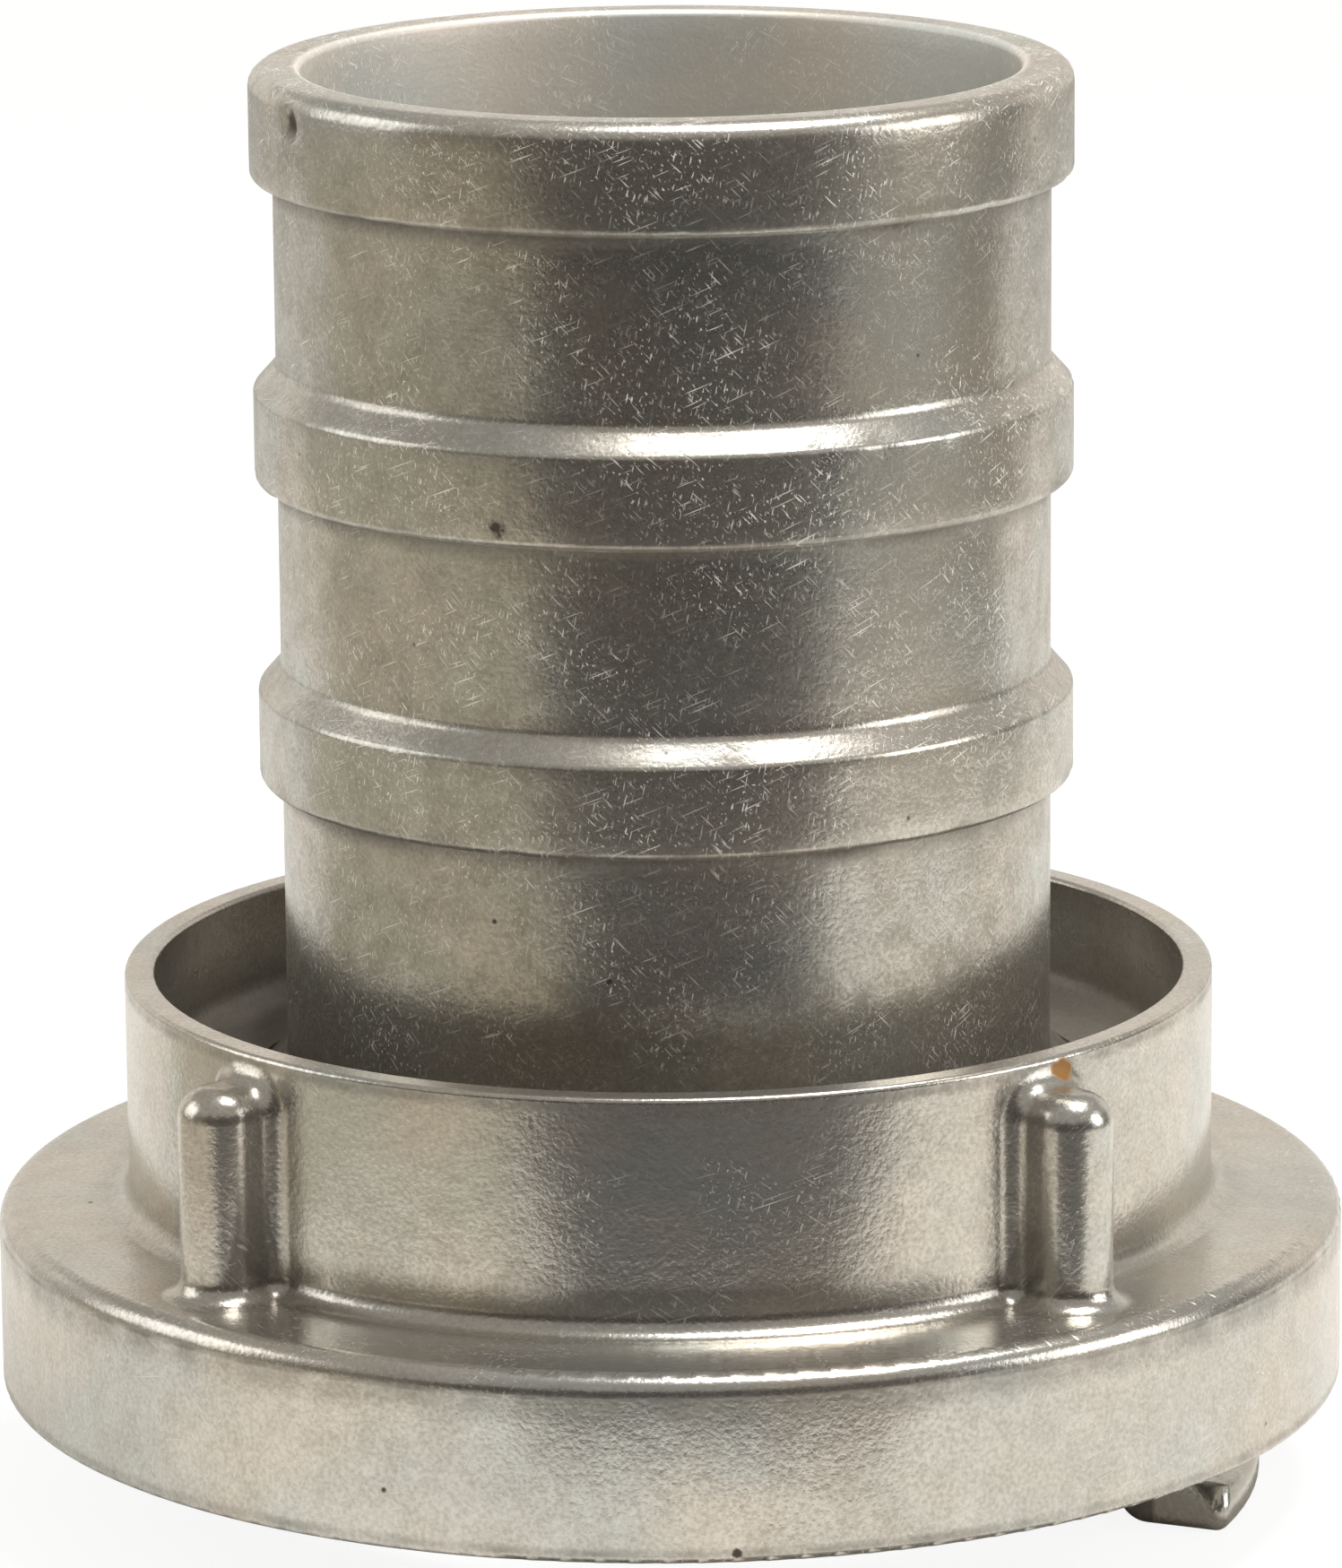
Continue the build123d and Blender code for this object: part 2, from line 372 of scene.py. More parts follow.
def spot_mask(tree, place, centre, radius, ragged):
    """1 inside a ragged spot about a point on the piece, 0 outside."""
    away = add(tree, "VectorMath", {0: place, 1: centre}, operation="DISTANCE").outputs["Value"]
    edge = add(tree, "TexNoise", {"Vector": place, "Scale": 1.2 / radius, "Detail": 3.0})
    pushed = add(tree, "Math", {0: edge, 1: ragged * radius, 2: away}, operation="MULTIPLY_ADD")
    far = radius * (1 + ragged / 2)
    return add(tree, "MapRange", {
        "Value": pushed, "From Min": far * 1.1, "From Max": far * 0.8, "To Min": 0.0, "To Max": 1.0,
    })


def scratches(tree, flat_place, angle, long, wide, few):
    """Fine straight scratches: stretched noise, of which only the peaks above few are kept."""
    lines = add(tree, "Mapping", {
        "Vector": flat_place, "Rotation": (0, 0, angle), "Scale": (long, wide, 1),
    }, vector_type="TEXTURE")
    streak = add(tree, "TexNoise", {"Vector": lines, "Scale": 1.0, "Detail": 0.0},
                 noise_dimensions="2D")
    return add(tree, "MapRange", {"Value": streak, "From Min": few, "From Max": few + 0.04})


def aluminium(name, finish, turning, roughness, worn, soiled, stains=(), dirt_lines=(),
              shade_and_dirt_attribute=False, cup=None, bore=None):
    """Aluminium that was forged or turned, tumbled matt, then worn and handled for years.

    A fine tumbled grain breaks up the reflections, lathe lines run round the axis, random nicks
    and scratches catch the light, a thin film of dirt dulls broad patches, and painted shade with
    dirt darkens corners. turning weighs the lathe lines, worn the scratches and soiled the film of
    dirt. cup is the inner radius, floor and rim of a cup whose inside gets painted shade and dirt,
    darker towards its floor, and bore the radius of a clean waterway.
    """
    material, tree, shader = new_material(name)
    place = add(tree, "TexCoord").outputs["Object"]
    split = add(tree, "SeparateXYZ", {0: place})
    x, y, z = split.outputs
    flat = add(tree, "CombineXYZ", {0: x, 1: y})
    away = add(tree, "VectorMath", {0: flat}, operation="LENGTH").outputs["Value"]
    back = add(tree, "Math", {0: y, 1: -1.0}, operation="MULTIPLY")
    angle = add(tree, "Math", {0: x, 1: back}, operation="ARCTAN2")
    round_way = add(tree, "Math", {0: angle, 1: ROLL_RADIUS}, operation="MULTIPLY")
    up_way = add(tree, "Math", {0: away, 1: -1.3, 2: z}, operation="MULTIPLY_ADD")
    unrolled = add(tree, "CombineXYZ", {0: round_way, 1: up_way})

    # tumbled grain of about 0.4 mm, drawn slightly coarser than the real 0.2 mm so that it shows
    grain = add(tree, "TexNoise", {"Vector": place, "Scale": 1 / (0.42 * MM), "Detail": 2.0})
    lumps = add(tree, "TexNoise", {"Vector": place, "Scale": 1 / (2.6 * MM), "Detail": 2.0})
    # lathe lines that run round the axis
    across = add(tree, "Math", {0: up_way, 1: 1 / LATHE_PITCH}, operation="MULTIPLY")
    lathe = add(tree, "CombineXYZ", {
        0: add(tree, "Math", {0: x, 1: LATHE_CHANGES}, operation="MULTIPLY"),
        1: add(tree, "Math", {0: y, 1: LATHE_CHANGES}, operation="MULTIPLY"),
        2: across,
    })
    lines = add(tree, "TexNoise", {"Vector": lathe, "Scale": 1.0, "Detail": 1.0})

    # broad patches of dirt film, 14 mm across, with finer mottling inside
    film = add(tree, "TexNoise", {"Vector": place, "Scale": 1 / (14 * MM), "Detail": 3.0,
                                  "Roughness": 0.62})
    film = add(tree, "MapRange", {"Value": film, "From Min": 0.28, "From Max": 0.68,
                                  "To Min": 0.0, "To Max": 0.40 * soiled})
    mottle = add(tree, "MapRange", {"Value": lumps, "From Min": 0.35, "From Max": 0.7,
                                    "To Min": 0.0, "To Max": 0.3 * soiled})
    speckle = add(tree, "MapRange", {"Value": grain, "From Min": 0.35, "From Max": 0.68,
                                     "To Min": -0.08, "To Max": 0.3})
    dirt = add(tree, "Math", {0: film, 1: mottle}, operation="ADD")
    dirt = add(tree, "Math", {0: dirt, 1: speckle}, operation="ADD", use_clamp=True)
    if bore:
        # the waterway is scoured clean and coarse
        scoured = add(tree, "MapRange", {"Value": away, "From Min": bore + 1.0 * MM,
                                         "From Max": bore + 0.4 * MM})
        clean = add(tree, "Math", {0: 1.0, 1: scoured}, operation="SUBTRACT")
        dirt = add(tree, "Math", {0: dirt, 1: clean}, operation="MULTIPLY")
        roughness = add(tree, "Math", {0: scoured, 1: 0.32, 2: roughness},
                        operation="MULTIPLY_ADD")
    # the metal wanders between a warm and a cool grey over a few centimetres
    tint = add(tree, "TexNoise", {"Vector": place, "Scale": 1 / (17 * MM), "Detail": 2.0})
    tint = add(tree, "MapRange", {"Value": tint, "From Min": 0.38, "From Max": 0.62})
    clear = add(tree, "Mix", {0: tint, MIX_A: finish.metal, MIX_B: finish.cool}, data_type="RGBA")
    base = add(tree, "Mix", {0: dirt, MIX_A: clear, MIX_B: finish.dull}, data_type="RGBA")

    # more scratches show in the patches that hands and gear touch
    marks = None
    for turn, long, wide, few in SCRATCHES:
        layer = scratches(tree, unrolled, turn, long, wide, few)
        marks = layer if marks is None else add(
            tree, "Math", {0: marks, 1: layer}, operation="MAXIMUM")
    handled = add(tree, "TexNoise", {"Vector": place, "Scale": 1 / (9 * MM), "Detail": 2.0})
    handled = add(tree, "MapRange", {"Value": handled, "From Min": 0.42, "From Max": 0.6,
                                     "To Min": 0.3 * worn, "To Max": worn})
    marks = add(tree, "Math", {0: marks, 1: handled}, operation="MULTIPLY")
    base = add(tree, "Mix", {0: marks, MIX_A: base, MIX_B: finish.nick}, data_type="RGBA")

    # pinholes about 0.4 mm across, in one cell out of ten of a 4 mm lattice
    cells = add(tree, "TexVoronoi", {"Vector": place, "Scale": 1 / (4 * MM)})
    draw = add(tree, "SeparateColor", {0: cells.outputs["Color"]})
    chosen = add(tree, "Math", {0: draw, 1: 0.10}, operation="LESS_THAN")
    hole = add(tree, "MapRange", {"Value": cells.outputs["Distance"], "From Min": 0.08,
                                  "From Max": 0.03})
    pits = add(tree, "Math", {0: hole, 1: chosen}, operation="MULTIPLY")

    # painted shade and dirt where surfaces meet, from ambient occlusion or from the piece's point
    # attribute
    if shade_and_dirt_attribute:
        corner = add(tree, "Attribute", attribute_name="grime_and_shade").outputs["Fac"]
    else:
        corner = add(tree, "AmbientOcclusion", {"Distance": 5 * MM}, samples=2).outputs["AO"]
        corner = add(tree, "MapRange", {"Value": corner, "From Min": 0.7, "From Max": 0.2,
                                        "To Min": 0.0, "To Max": 0.45})
    grime_and_shade = add(tree, "Math", {0: corner, 1: pits}, operation="MAXIMUM")
    for radius, height, width, strength in dirt_lines:
        # dirt along a line round the axis, broken up by noise
        section = add(tree, "CombineXYZ", {0: away, 1: z})
        off = add(tree, "VectorMath", {0: section, 1: (radius, height, 0)}, operation="DISTANCE")
        near = add(tree, "MapRange", {"Value": off.outputs["Value"], "From Min": width,
                                      "From Max": 0.2 * width})
        broken = add(tree, "TexNoise", {"Vector": place, "Scale": 1 / (4 * MM), "Detail": 4.0})
        broken = add(tree, "MapRange", {"Value": broken, "From Min": 0.28, "From Max": 0.66,
                                        "To Min": 0.2 * strength, "To Max": strength})
        line = add(tree, "Math", {0: near, 1: broken}, operation="MULTIPLY")
        grime_and_shade = add(tree, "Math", {0: grime_and_shade, 1: line}, operation="MAXIMUM")
    if cup:
        # painted shade and dirt inside the cup: darker towards its floor
        wall, floor_z, rim_z = cup
        inside = add(tree, "MapRange", {"Value": away, "From Min": wall + 0.8 * MM,
                                        "From Max": wall + 0.2 * MM})
        deep = add(tree, "MapRange", {"Value": z, "From Min": rim_z - 4 * MM,
                                      "From Max": floor_z + MM, "To Min": 0.05, "To Max": 0.72})
        inside = add(tree, "Math", {0: inside, 1: deep}, operation="MULTIPLY")
        grime_and_shade = add(tree, "Math", {0: grime_and_shade, 1: inside}, operation="MAXIMUM")
    # painted shade and dirt both turn the metal towards the dark colour of grime and shade
    base = add(tree, "Mix", {0: grime_and_shade, MIX_A: base, MIX_B: finish.grime_and_shade}, data_type="RGBA")
    for centre, radius, ragged, tint in stains:
        spot = spot_mask(tree, place, centre, radius, ragged)
        base = add(tree, "Mix", {0: spot, MIX_A: base, MIX_B: tint}, data_type="RGBA")
        grime_and_shade = add(tree, "Math", {0: grime_and_shade, 1: spot}, operation="MAXIMUM")

    rough = add(tree, "Math", {0: dirt, 1: 0.14, 2: roughness}, operation="MULTIPLY_ADD")
    rough = add(tree, "Math", {0: marks, 1: 0.12, 2: rough}, operation="MULTIPLY_ADD")
    rough = add(tree, "Math", {0: grime_and_shade, 1: 0.3, 2: rough}, operation="MULTIPLY_ADD",
                use_clamp=True)
    # a film of oxide and dirt scatters a little light, thick grime and painted shade hide the metal
    film_share = add(tree, "Math", {0: dirt, 1: -0.10, 2: 0.91}, operation="MULTIPLY_ADD")
    hidden = add(tree, "MapRange", {"Value": grime_and_shade, "From Min": 0.3, "From Max": 1.0,
                                    "To Min": 1.0, "To Max": 0.25})
    metal = add(tree, "Math", {0: film_share, 1: hidden}, operation="MULTIPLY")
    # the burr along a scratch scatters light to all sides
    burr = add(tree, "Math", {0: marks, 1: -0.8, 2: 1.0}, operation="MULTIPLY_ADD")
    metal = add(tree, "Math", {0: metal, 1: burr}, operation="MULTIPLY")
    if bore:
        # water has left the bore's wall with a pale oxide
        oxide = add(tree, "Math", {0: scoured, 1: -0.38, 2: 1.0}, operation="MULTIPLY_ADD")
        metal = add(tree, "Math", {0: metal, 1: oxide}, operation="MULTIPLY")

    relief = add(tree, "Math", {0: lumps, 1: 1.6, 2: grain}, operation="MULTIPLY_ADD")
    relief = add(tree, "Math", {0: lines, 1: turning, 2: relief}, operation="MULTIPLY_ADD")
    bump = add(tree, "Bump", {"Strength": 1.0, "Distance": GRAIN_DEPTH, "Height": relief})

    for socket, source in (("Base Color", base), ("Roughness", rough), ("Metallic", metal),
                           ("Normal", bump)):
        tree.links.new(next(o for o in source.outputs if o.enabled), shader.inputs[socket])
    return material


def moulded_rubber(finish):
    """EPDM rubber, compression moulded: near black, matt, with a bloom of talc in patches."""
    material, tree, shader = new_material("moulded_epdm_rubber")
    place = add(tree, "TexCoord").outputs["Object"]
    bloom = add(tree, "TexNoise", {"Vector": place, "Scale": 1 / (7 * MM), "Detail": 5.0})
    bloom = add(tree, "MapRange", {"Value": bloom, "From Min": 0.45, "From Max": 0.8,
                                   "To Min": 0.0, "To Max": 0.35})
    grain = add(tree, "TexNoise", {"Vector": place, "Scale": 1 / (0.4 * MM), "Detail": 2.0})
    base = add(tree, "Mix", {0: bloom, MIX_A: finish.rubber, MIX_B: linear("#5a5853")},
               data_type="RGBA")
    rough = add(tree, "Math", {0: bloom, 1: 0.5, 2: 0.52}, operation="MULTIPLY_ADD")
    bump = add(tree, "Bump", {"Strength": 1.0, "Distance": 0.02 * MM, "Height": grain})
    for socket, source in (("Base Color", base), ("Roughness", rough), ("Normal", bump)):
        tree.links.new(next(o for o in source.outputs if o.enabled), shader.inputs[socket])
    return material


def drawn_steel(finish):
    """Drawn spring steel wire: darker than aluminium, with die lines along the wire."""
    material, tree, shader = new_material("drawn_spring_steel")
    shader.inputs["Metallic"].default_value = 1.0
    place = add(tree, "TexCoord").outputs["Object"]
    fine = add(tree, "Mapping", {"Vector": place, "Scale": (80, 80, 1 / (0.2 * MM))})
    lines = add(tree, "TexNoise", {"Vector": fine, "Scale": 1.0, "Detail": 2.0})
    base = add(tree, "Mix", {0: lines, MIX_A: finish.steel, MIX_B: finish.grime_and_shade}, data_type="RGBA")
    rough = add(tree, "Math", {0: lines, 1: 0.2, 2: 0.25}, operation="MULTIPLY_ADD")
    bump = add(tree, "Bump", {"Strength": 1.0, "Distance": 0.01 * MM, "Height": lines})
    for socket, source in (("Base Color", base), ("Roughness", rough), ("Normal", bump)):
        tree.links.new(next(o for o in source.outputs if o.enabled), shader.inputs[socket])
    return material


def card_material(name, tone):
    """Plain paper or cloth for the studio's cards."""
    material, tree, shader = new_material(name)
    shader.inputs["Base Color"].default_value = linear(tone)
    shader.inputs["Roughness"].default_value = 1.0
    shader.inputs["Specular IOR Level"].default_value = 0.0
    return material


# ---------------------------------------------------------------- pieces


class COUPLING_OT_hose_tail(bpy.types.Operator):
    """Turns the hose tail with its three ribs and works the dents of use into it"""

    bl_idname = "coupling.hose_tail"
    bl_label = "Hose tail"

    def execute(self, context):
        sizes = context.scene.coupling_tail
        finish = context.scene.coupling_finish
        top = tail_high[2]
        feet = [top - sizes.end_land - i * sizes.pitch for i in (2, 1, 0)]
        # the seal's seat is undercut behind the collar's narrower mouth
        seal_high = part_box("seal")[1]
        seat_floor = seal_high[2]
        seat_wall = seal_high[0] + 0.15 * MM
        mouth, mouth_depth = 40.6 * MM, 4.6 * MM
        # the snap ring's groove takes half of its wire
        groove_low, groove_high = (corner[2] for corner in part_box("snap_ring"))
        clear = 0.2 * MM
        groove = sizes.journal - (groove_high - groove_low) / 2 - clear
        corners = [
            (sizes.bore, seat_floor, 0),
            (seat_wall, seat_floor, 0),
            (seat_wall, mouth_depth, 0),
            (mouth, mouth_depth, 0),
            (mouth, 0, 0.3 * MM),
            (sizes.collar - 0.8 * MM, 0, 0.3 * MM),
            (sizes.collar, 0.8 * MM, 0.3 * MM),
            (sizes.collar, sizes.collar_height, 0.8 * MM),
            (sizes.journal, sizes.collar_height, 0),
            (sizes.journal, groove_low - clear, 0.1 * MM),
            (groove, groove_low - clear, 0),
            (groove, groove_high + clear, 0),
            (sizes.journal, groove_high + clear, 0.1 * MM),
            (sizes.journal, sizes.journal_top, 0.4 * MM),
            (sizes.core, sizes.journal_top + sizes.journal - sizes.core, 0.6 * MM),
        ]
        for foot in feet[:2]:
            corners += [
                (sizes.core, foot, 0.4 * MM),
                (sizes.rib, foot, 0.8 * MM),
                (sizes.rib, foot + sizes.land, 0.9 * MM),
                (sizes.core, foot + sizes.land + sizes.ramp, 1.4 * MM),
            ]
        corners += [
            (sizes.core, feet[2], 0.4 * MM),
            (sizes.rib, feet[2], 0.8 * MM),
            (sizes.rib, top, 1.7 * MM),
            (sizes.bore, top, 0.7 * MM),
        ]
        outline = rounded_profile(corners, TAIL_STEP)
        grid, a = turned(outline, TAIL_COLUMNS)
        normal = outline_normals(outline)
        outward = np.empty_like(grid)
        outward[..., 0] = normal[:, 0] * np.cos(a)[:, None]
        outward[..., 1] = normal[:, 0] * np.sin(a)[:, None]
        outward[..., 2] = normal[:, 1]

        # nicks sit where handling hits first, on the ribs' edges and the rim, with one deep pit
        draws = np.random.default_rng(sizes.seed)
        edges = np.array([(sizes.rib, h) for foot in feet for h in (foot, foot + sizes.land)])
        edges[-1, 1] = top
        hit = edges[draws.integers(0, len(edges), sizes.nicks)]
        where = draws.uniform(0, 2 * np.pi, sizes.nicks)
        spread = draws.uniform(0.5, 1.3, sizes.nicks) * MM
        depth = draws.uniform(0.04, 0.16, sizes.nicks) * MM
        centres = np.column_stack([hit[:, 0] * np.cos(where), hit[:, 0] * np.sin(where), hit[:, 1]])
        swing = math.radians(-139)
        rim_pit = (sizes.rib * math.cos(swing), sizes.rib * math.sin(swing), top - 2.7 * MM)
        centres = np.vstack([centres, rim_pit])
        spread = np.append(spread, 1.1 * MM)
        depth = np.append(depth, 0.9 * MM)
        sunk = np.zeros(grid.shape[:2])
        for centre, size, deep in zip(centres, spread, depth):
            apart = ((grid - centre) ** 2).sum(axis=-1)
            sunk = np.maximum(sunk, deep * np.exp(-apart / size**2))
        outside = grid[..., 0] ** 2 + grid[..., 1] ** 2 > (sizes.core - MM) ** 2
        grid -= outward * (sunk * outside)[..., None]
        piece = closed_grid_mesh("hose_tail", grid)

        # painted shadow under each rib's lower shoulder, and dirt along each rib's lower edge,
        # thick and thin round the axis
        radius, height = outline.T
        grime_and_shade = np.zeros(grid.shape[:2])
        for foot in feet:
            painted_shadow_band = np.exp(-(((height - foot + 0.3 * MM) / (0.8 * MM)) ** 2))
            painted_shadow_band *= (radius > sizes.core - MM) & (radius < sizes.rib)
            grime_and_shade += painted_shadow_band * (0.3 + 0.6 * wander(a, draws)[:, None])
            edge = np.exp(-(((height - foot - 0.9 * MM) / (0.5 * MM)) ** 2))
            grime_and_shade += edge * (radius > sizes.core) * (wander(a, draws, 20)[:, None] - 0.45) * 0.9
        # painted shade low on the tail where it stands inside the lug ring's cup
        grime_and_shade += np.exp(-(((height - 29 * MM) / (5 * MM)) ** 2)) * (radius > sizes.core - MM) * 0.5
        grime_and_shade += (sunk > 0.3 * MM) * 0.9
        point_attribute(piece, "grime_and_shade", np.clip(grime_and_shade, 0, 1))

        pit = (-6.6 * MM, -37.2 * MM, 87.1 * MM)
        core_pit = (2.8 * MM, -35.6 * MM, 45.8 * MM)
        piece.data.materials.append(aluminium(
            "turned_aluminium", finish, turning=0.18, roughness=0.21, worn=1.0, soiled=1.0,
            stains=((pit, 0.8 * MM, 2.5, finish.grime_and_shade), (core_pit, 0.3 * MM, 1.5, finish.grime_and_shade),
                    (rim_pit, 0.9 * MM, 1.2, finish.grime_and_shade)),
            shade_and_dirt_attribute=True, bore=sizes.bore,
        ))
        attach(piece, "tail")
        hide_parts("shank")
        return {"FINISHED"}


class COUPLING_OT_lug_ring(bpy.types.Operator):
    """Joins the lug ring's facets into one smooth forging and wears its flange"""

    bl_idname = "coupling.lug_ring"
    bl_label = "Lug ring"

    def execute(self, context):
        finish = context.scene.coupling_finish
        mesh = bpy.data.meshes.new("ring_forging")
        facets = bmesh.new()
        facets.from_mesh(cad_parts["lug_ring"].data)
        bmesh.ops.remove_doubles(facets, verts=facets.verts, dist=0.002 * MM)
        bmesh.ops.dissolve_degenerate(facets, edges=facets.edges, dist=0.002 * MM)
        facets.to_mesh(mesh)
        facets.free()
        wear_flange_edge(mesh, ring_high[0], FLANGE_HEIGHT, FLANGE_EDGE, WORN_EDGE)
        mesh.shade_smooth()
        mesh.set_sharp_from_angle(angle=math.radians(28))
        piece = bpy.data.objects.new("ring_forging", mesh)
        context.scene.collection.objects.link(piece)
        even = piece.modifiers.new("even_shading", "WEIGHTED_NORMAL")
        even.mode = "FACE_AREA_WITH_ANGLE"
        even.keep_sharp = True
        context.view_layer.update()
        seen = piece.evaluated_get(context.evaluated_depsgraph_get())
        mesh = bpy.data.meshes.new_from_object(seen)
        piece.modifiers.clear()
        piece.data = mesh
        round_shading(mesh, ring_high[0], FLANGE_HEIGHT, WORN_EDGE)

        rust_spot = (42.6 * MM, -27.9 * MM, 37.6 * MM)
        speck = (19.6 * MM, -59.9 * MM, 1.0 * MM)
        # the forging's corners get painted shade and dirt from ambient occlusion
        mesh.materials.append(aluminium(
            "forged_aluminium", finish, turning=0.09, roughness=0.18, worn=0.4, soiled=0.55,
            stains=((rust_spot, 1.4 * MM, 1.6, finish.rust), (speck, 0.5 * MM, 1.0, finish.grime_and_shade)),
            dirt_lines=(
                (ring_high[0], FLANGE_HEIGHT - 2.0 * MM, 0.5 * MM, 0.6),
                (ring_high[0], FLANGE_HEIGHT - 2.6 * MM, 2.2 * MM, 0.35),
                (50.8 * MM, ring_high[2] - 0.9 * MM, 0.8 * MM, 0.4),
                (ring_high[0], 1.0 * MM, 0.7 * MM, 0.4),
            ),
            # painted shade and dirt on the cup's inner wall, darker towards its floor
            cup=(48 * MM, 27.5 * MM, ring_high[2]),
        ))
        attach(piece, "ring")
        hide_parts("lug_ring")
        return {"FINISHED"}


class COUPLING_OT_face_seal(bpy.types.Operator):
    """Gives the face seal its rubber"""

    bl_idname = "coupling.face_seal"
    bl_label = "Face seal"

    def execute(self, context):
        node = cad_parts["seal"]
        node.data.materials.clear()
        node.data.materials.append(moulded_rubber(context.scene.coupling_finish))
        return {"FINISHED"}


class COUPLING_OT_snap_ring(bpy.types.Operator):
    """Gives the snap ring its steel"""

    bl_idname = "coupling.snap_ring"
    bl_label = "Snap ring"

    def execute(self, context):
        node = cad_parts["snap_ring"]
        node.data.materials.clear()
        node.data.materials.append(drawn_steel(context.scene.coupling_finish))
        return {"FINISHED"}


# ---------------------------------------------------------------- studio

# name, place, size and power of each soft lamp, seen from the camera's side
LAMPS = (
    ("lamp_key", (0.19, -0.03, 0.80), 0.34, 5.4),
    ("lamp_left", (-0.90, 0.05, 0.40), 0.60, 2.0),
    ("lamp_right", (0.90, -0.20, 0.34), 0.50, 2.8),
)
ROOM_LEVEL = 0.42
CARD_REACH = 1.60
# name, tone, near edge and reach either side of the camera, near and far, of each card
CARDS = (
    ("dark_cloth", "#34302e", 0.133, (-15, 26), (-42, 58)),
    ("slate_cloth", "#55585a", 0.185, (-16, 27), (-42, 58)),
    ("black_cloth", "#2b2725", 0.270, (-17, 29), (-42, 58)),
    ("grey_card_left", "#bfb9a8", 0.170, (-115, -24), (-115, -42)),
    ("grey_card_right", "#7b766b", 0.330, (52, 115), (58, 115)),
)
# name, tone, height and reach either side of the camera of each drape at the cards' far edge
DRAPES = (
    ("dark_drape", "#3c302d", 0.70, (-42, 58)),
    ("grey_drape_left", "#8f8a7d", 0.60, (-115, -42)),
    ("grey_drape_right", "#6b675e", 0.60, (58, 115)),
)
# the light panel behind, which only shows in the metal: reach, height and level
PANEL_REACH = (125, 235)
PANEL_HEIGHT = 0.9
PANEL_LEVEL = 0.85
# the floor: half its width, and the share and strength of the glow that only the camera sees
FLOOR_HALF = 4
FLOOR_GLOW_SHARE = 0.8
FLOOR_GLOW = 1.12
# the snooted lamp overhead: height above the tail, distance in front of the axis and power
SNOOT_HEIGHT = 0.9
SNOOT_AHEAD = 0.16
SNOOT_POWER = 30.0


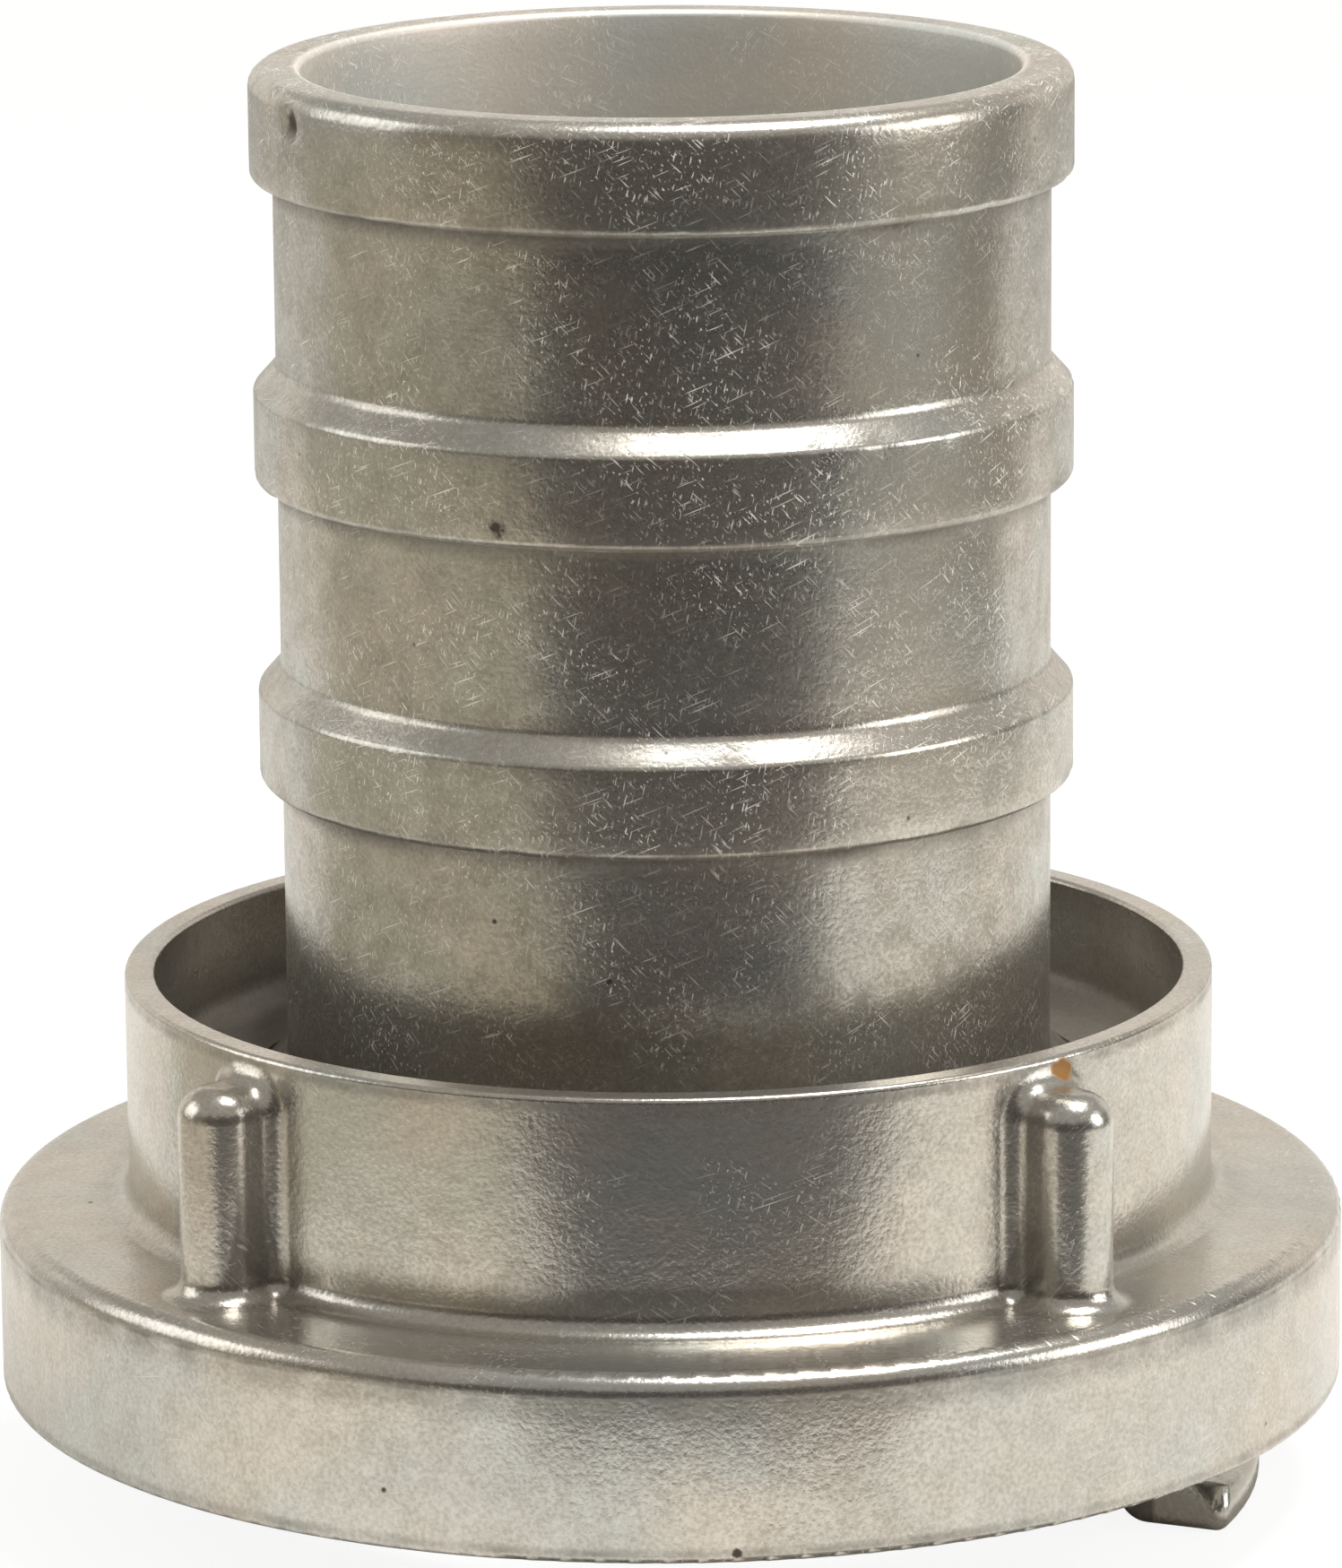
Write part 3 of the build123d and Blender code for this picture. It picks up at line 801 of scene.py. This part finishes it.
class COUPLING_OT_studio(bpy.types.Operator):
    """Sets the floor, the cards, the lamps and the camera"""

    bl_idname = "coupling.studio"
    bl_label = "Studio"

    def execute(self, context):
        settings = context.scene.coupling_studio
        sizes = context.scene.coupling_tail
        facing = Matrix.Rotation(settings.turn, 4, "Z")
        data = bpy.data.cameras.new("camera")
        data.lens = settings.lens
        data.sensor_width = 36
        data.clip_start = 0.05
        data.clip_end = 20
        data.shift_x = FRAME_SHIFT / FRAME_HEIGHT
        camera = bpy.data.objects.new("camera", data)
        context.scene.collection.objects.link(camera)
        camera.matrix_world = (
            facing
            @ Matrix.Translation((0, -settings.distance, settings.height))
            @ Matrix.Rotation(math.pi / 2 - settings.tilt, 4, "X")
            @ Matrix.Rotation(settings.roll, 4, "Z")
        )
        context.scene.camera = camera

        # the floor shows nearly white to the camera and keeps a faint shadow
        square = [(-1, -1), (1, -1), (1, 1), (-1, 1)]
        square = [(x * FLOOR_HALF, y * FLOOR_HALF) for x, y in square]
        floor = flat_sheet("floor", square, cad_low[2])
        paper, tree, shader = new_material("white_paper")
        shader.inputs["Base Color"].default_value = linear("#f4f2ee")
        shader.inputs["Roughness"].default_value = 1.0
        seen = add(tree, "LightPath").outputs["Is Camera Ray"]
        share = add(tree, "Math", {0: seen, 1: FLOOR_GLOW_SHARE}, operation="MULTIPLY")
        glow = add(tree, "Emission", {"Color": (1, 1, 1, 1), "Strength": FLOOR_GLOW})
        mixed = add(tree, "MixShader", {0: share, 1: shader, 2: glow})
        tree.links.new(mixed.outputs[0], tree.nodes["Material Output"].inputs["Surface"])
        floor.data.materials.append(paper)

        hung = []
        for i, (name, tone, near, near_reach, far_reach) in enumerate(CARDS):
            outline = sector(near, CARD_REACH, settings.turn,
                             np.radians(near_reach), np.radians(far_reach))
            hung.append(flat_sheet(name, outline, cad_low[2] + (i + 1) * 0.2 * MM))
            hung[-1].data.materials.append(card_material(name, tone))
        for name, tone, height, reach in DRAPES:
            hung.append(standing_arc(name, CARD_REACH, settings.turn, np.radians(reach),
                                     cad_low[2], height))
            hung[-1].data.materials.append(card_material(name, tone))
        panel = standing_arc("light_panel", CARD_REACH, settings.turn, np.radians(PANEL_REACH),
                             cad_low[2], PANEL_HEIGHT)
        glass, tree, _ = new_material("opal_panel")
        glow = add(tree, "Emission", {"Color": linear("#fff8ee"), "Strength": PANEL_LEVEL})
        tree.links.new(glow.outputs[0], tree.nodes["Material Output"].inputs["Surface"])
        panel.data.materials.append(glass)
        for card in (*hung, panel):
            card.visible_camera = False
            card.visible_shadow = False
            card.visible_diffuse = False

        for name, spot, size, power in LAMPS:
            data = bpy.data.lights.new(name, "AREA")
            data.shape = "SQUARE"
            data.size = size
            data.energy = power
            lamp = bpy.data.objects.new(name, data)
            context.scene.collection.objects.link(lamp)
            lamp.location = facing @ Vector(spot)
            aim = Vector((0, 0, 40 * MM)) - lamp.location
            lamp.rotation_euler = aim.to_track_quat("-Z", "Y").to_euler()

        # a snooted lamp overhead, whose narrow cone reaches down the waterway
        data = bpy.data.lights.new("lamp_top", "SPOT")
        data.energy = SNOOT_POWER
        data.shadow_soft_size = 30 * MM
        data.spot_size = 2 * math.atan2(sizes.core, SNOOT_HEIGHT)
        data.spot_blend = 0.3
        lamp = bpy.data.objects.new("lamp_top", data)
        context.scene.collection.objects.link(lamp)
        lamp.location = facing @ Vector((0, -SNOOT_AHEAD, tail_high[2] + SNOOT_HEIGHT))
        aim = Vector((0, 0, tail_high[2])) - lamp.location
        lamp.rotation_euler = aim.to_track_quat("-Z", "Y").to_euler()

        # the room is a soft grey light, and shows white to the camera alone
        world = bpy.data.worlds.new("studio")
        world.use_nodes = True
        tree = world.node_tree
        room = tree.nodes["Background"]
        room.inputs["Color"].default_value = linear("#f3efe8")
        room.inputs["Strength"].default_value = ROOM_LEVEL
        white = add(tree, "Background", {"Color": (1, 1, 1, 1), "Strength": 1.0})
        seen = add(tree, "LightPath").outputs["Is Camera Ray"]
        mixed = add(tree, "MixShader", {0: seen, 1: room, 2: white})
        tree.links.new(mixed.outputs[0], tree.nodes["World Output"].inputs["Surface"])
        context.scene.world = world
        context.scene.view_settings.view_transform = "Standard"
        return {"FINISHED"}


PIECES = (
    COUPLING_OT_hose_tail,
    COUPLING_OT_lug_ring,
    COUPLING_OT_face_seal,
    COUPLING_OT_snap_ring,
    COUPLING_OT_studio,
)


class COUPLING_PT_sidebar(bpy.types.Panel):
    """Lists the coupling's pieces and their settings"""

    bl_idname = "COUPLING_PT_sidebar"
    bl_label = "Fire hose coupling"
    bl_space_type = "VIEW_3D"
    bl_region_type = "UI"
    bl_category = "Coupling"

    def draw(self, context):
        column = self.layout.column()
        for piece in PIECES:
            column.operator(piece.bl_idname)
        for name in GROUPS:
            settings = getattr(context.scene, name)
            for prop in settings.bl_rna.properties:
                if not prop.is_readonly and prop.identifier != "name":
                    column.prop(settings, prop.identifier)


GROUPS = {
    "coupling_tail": CouplingTail,
    "coupling_finish": CouplingFinish,
    "coupling_studio": CouplingStudio,
}
CLASSES = (*GROUPS.values(), *PIECES, COUPLING_PT_sidebar)


def register():
    """Makes the settings, the operators and the panel known to Blender."""
    for one in CLASSES:
        bpy.utils.register_class(one)
    for name, group in GROUPS.items():
        setattr(bpy.types.Scene, name, bpy.props.PointerProperty(type=group))


def unregister():
    """Takes back what register made."""
    for name in GROUPS:
        delattr(bpy.types.Scene, name)
    for one in reversed(CLASSES):
        bpy.utils.unregister_class(one)


def main():
    """Builds every piece in order."""
    register()
    bpy.ops.coupling.studio()
    bpy.ops.coupling.hose_tail()
    bpy.ops.coupling.lug_ring()
    bpy.ops.coupling.face_seal()
    bpy.ops.coupling.snap_ring()


if __name__ == "__main__":
    main()
